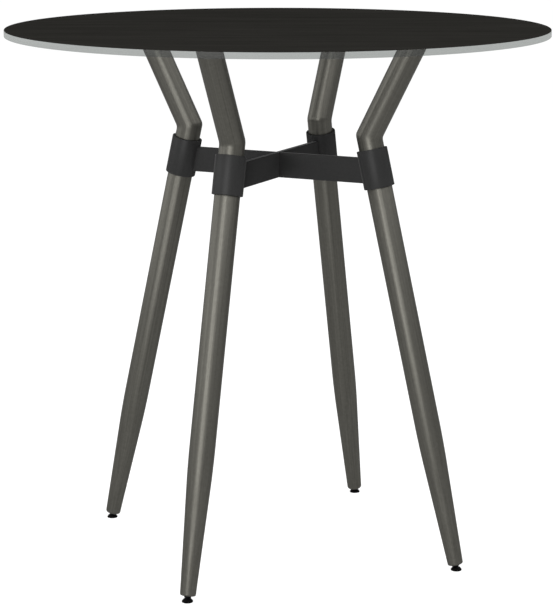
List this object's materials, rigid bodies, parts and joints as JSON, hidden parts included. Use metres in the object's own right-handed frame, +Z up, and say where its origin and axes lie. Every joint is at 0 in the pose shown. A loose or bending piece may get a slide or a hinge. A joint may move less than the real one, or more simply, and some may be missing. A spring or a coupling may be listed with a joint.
{
  "type": "bar table",
  "caption": "Round counter-height bar table: glass top with a dark wood-grain face on splayed, kneed tube legs tied by a flat-bar cross, on screw-in levelling feet.",
  "frame": {"origin": "on the floor under the middle of the round top", "axes": "+Z up, square to the top; the legs stand on +X (right), +Y (back), -X (left) and -Y (front)"},
  "size_m": [0.8999, 0.9, 0.893],
  "materials": {
    "clear_glass": "toughened float glass with a polished flat edge",
    "wood_grain_laminate": "near-black laminate with a fine straight wood grain, matt",
    "gunmetal_tube": "antique gunmetal, brushed along the tube under satin lacquer",
    "black_powder_coat": "satin black powder coat with a fine metal flake",
    "aluminium_disc": "turned, black anodised",
    "zinc_steel": "zinc-plated steel",
    "black_zinc": "zinc-plated steel, black passivated",
    "black_nylon": "moulded black nylon"
  },
  "bodies": {
    "frame": {"arm_plate_back": "gunmetal_tube", "arm_plate_front": "gunmetal_tube", "arm_plate_left": "gunmetal_tube", "arm_plate_right": "gunmetal_tube", "arm_tube_back": "gunmetal_tube", "arm_tube_front": "gunmetal_tube", "arm_tube_left": "gunmetal_tube", "arm_tube_right": "gunmetal_tube", "collar_back": "black_powder_coat", "collar_front": "black_powder_coat", "collar_left": "black_powder_coat", "collar_right": "black_powder_coat", "cross_bar_front_back": "black_powder_coat", "cross_bar_left_right": "black_powder_coat", "foot_cap_back": "gunmetal_tube", "foot_cap_front": "gunmetal_tube", "foot_cap_left": "gunmetal_tube", "foot_cap_right": "gunmetal_tube", "glass_disc_back": "aluminium_disc", "glass_disc_front": "aluminium_disc", "glass_disc_left": "aluminium_disc", "glass_disc_right": "aluminium_disc", "glass_top": "clear_glass", "knee_plug_back": "zinc_steel", "knee_plug_front": "zinc_steel", "knee_plug_left": "zinc_steel", "knee_plug_right": "zinc_steel", "knee_tube_back": "gunmetal_tube", "knee_tube_front": "gunmetal_tube", "knee_tube_left": "gunmetal_tube", "knee_tube_right": "gunmetal_tube", "leg_plug_back": "zinc_steel", "leg_plug_front": "zinc_steel", "leg_plug_left": "zinc_steel", "leg_plug_right": "zinc_steel", "leg_stud_back": "zinc_steel", "leg_stud_front": "zinc_steel", "leg_stud_left": "zinc_steel", "leg_stud_right": "zinc_steel", "leg_tube_back": "gunmetal_tube", "leg_tube_front": "gunmetal_tube", "leg_tube_left": "gunmetal_tube", "leg_tube_right": "gunmetal_tube", "plate_screws": "zinc_steel", "wood_grain_sheet": "wood_grain_laminate"},
    "foot_pad_right": {"foot_pad_right": "black_nylon"},
    "foot_stem_right": {"foot_stem_right": "black_zinc"},
    "foot_pad_back": {"foot_pad_back": "black_nylon"},
    "foot_stem_back": {"foot_stem_back": "black_zinc"},
    "foot_pad_left": {"foot_pad_left": "black_nylon"},
    "foot_stem_left": {"foot_stem_left": "black_zinc"},
    "foot_pad_front": {"foot_pad_front": "black_nylon"},
    "foot_stem_front": {"foot_stem_front": "black_zinc"}
  },
  "joints": [
    {"name": "foot_right_turn", "type": "hinge", "parent": "foot_pad_right", "child": "foot_stem_right", "pos_m": [0.33232, 0, 0.0038], "axis": [0.2253, 0, -0.9743], "range_deg": [0, 4320]},
    {"name": "foot_right_level", "type": "slide", "parent": "frame", "child": "foot_pad_right", "axis": [0.2253, 0, -0.9743], "range_m": [0, 0.015]},
    {"name": "foot_back_turn", "type": "hinge", "parent": "foot_pad_back", "child": "foot_stem_back", "pos_m": [0, 0.33232, 0.0038], "axis": [0, 0.2253, -0.9743], "range_deg": [0, 4320]},
    {"name": "foot_back_level", "type": "slide", "parent": "frame", "child": "foot_pad_back", "axis": [0, 0.2253, -0.9743], "range_m": [0, 0.015]},
    {"name": "foot_left_turn", "type": "hinge", "parent": "foot_pad_left", "child": "foot_stem_left", "pos_m": [-0.33232, 0, 0.0038], "axis": [-0.2253, 0, -0.9743], "range_deg": [0, 4320]},
    {"name": "foot_left_level", "type": "slide", "parent": "frame", "child": "foot_pad_left", "axis": [-0.2253, 0, -0.9743], "range_m": [0, 0.015]},
    {"name": "foot_front_turn", "type": "hinge", "parent": "foot_pad_front", "child": "foot_stem_front", "pos_m": [0, -0.33232, 0.0038], "axis": [0, -0.2253, -0.9743], "range_deg": [0, 4320]},
    {"name": "foot_front_level", "type": "slide", "parent": "frame", "child": "foot_pad_front", "axis": [0, -0.2253, -0.9743], "range_m": [0, 0.015]}
  ],
  "couplings": [
    {"joint": "foot_right_level", "follows": "foot_right_turn", "m_per_rad": 0.00019894},
    {"joint": "foot_back_level", "follows": "foot_back_turn", "m_per_rad": 0.00019894},
    {"joint": "foot_left_level", "follows": "foot_left_turn", "m_per_rad": 0.00019894},
    {"joint": "foot_front_level", "follows": "foot_front_turn", "m_per_rad": 0.00019894}
  ]
}
